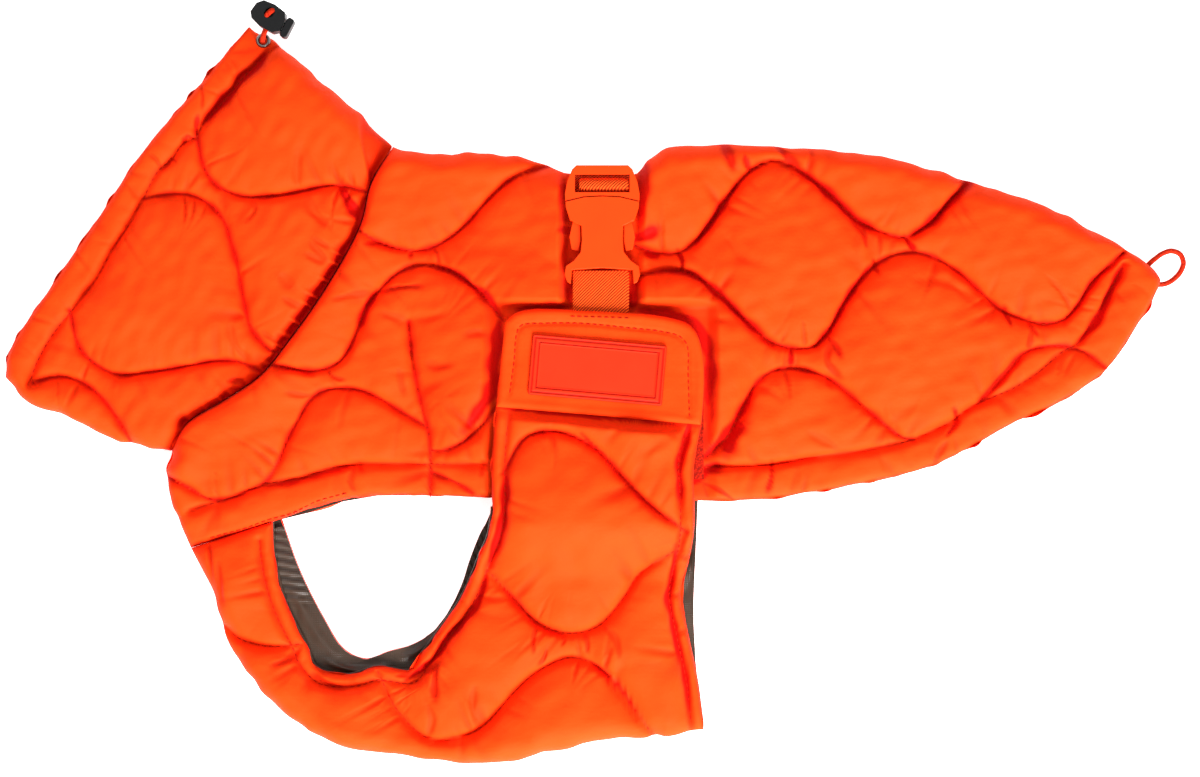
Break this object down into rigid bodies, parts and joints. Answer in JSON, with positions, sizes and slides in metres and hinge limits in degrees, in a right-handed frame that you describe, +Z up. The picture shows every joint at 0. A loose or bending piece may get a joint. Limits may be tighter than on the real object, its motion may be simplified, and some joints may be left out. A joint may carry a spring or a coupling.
{
  "type": "quilted dog winter coat",
  "caption": "Quilted winter coat for a small dog, lying flat on its side, with a collar, a belly panel with side flaps and a buckled strap over the back.",
  "frame": {"origin": "on the floor under the middle of the cloth's box, without its elastic cords and their lock", "axes": "+X from the head end toward the tail, +Y across the coat toward the ridge of the back, +Z up from the surface it lies on"},
  "size_m": [0.5346, 0.3435, 0.0347],
  "materials": {
    "shell_fabric": "matt quilted nylon, padded",
    "lining_fabric": "smooth grey-brown satin",
    "webbing": "twill-woven elastic webbing, matt",
    "buckle_plastic": "moulded, fine matt",
    "badge_rubber": "soft matt moulded rubber",
    "hook_loop_tape": "looped pile",
    "eyelet_metal": "dark gunmetal, satin",
    "lock_plastic": "moulded, satin",
    "elastic_cord": "braided elastic cord"
  },
  "bodies": {
    "root": {"collar": "shell_fabric", "back_panel": "shell_fabric", "belly_panel": "shell_fabric", "flap_facing": "shell_fabric", "belly_lining": "lining_fabric", "strap_lower": "webbing", "strap_upper": "webbing", "buckle_socket": "buckle_plastic", "buckle_plug": "buckle_plastic", "badge": "badge_rubber", "hook_loop_strip": "hook_loop_tape", "eyelet": "eyelet_metal", "cord_lock_body": "lock_plastic", "cord_lock_button": "lock_plastic", "neck_cord": "elastic_cord", "tail_cord": "elastic_cord"}
  },
  "joints": []
}
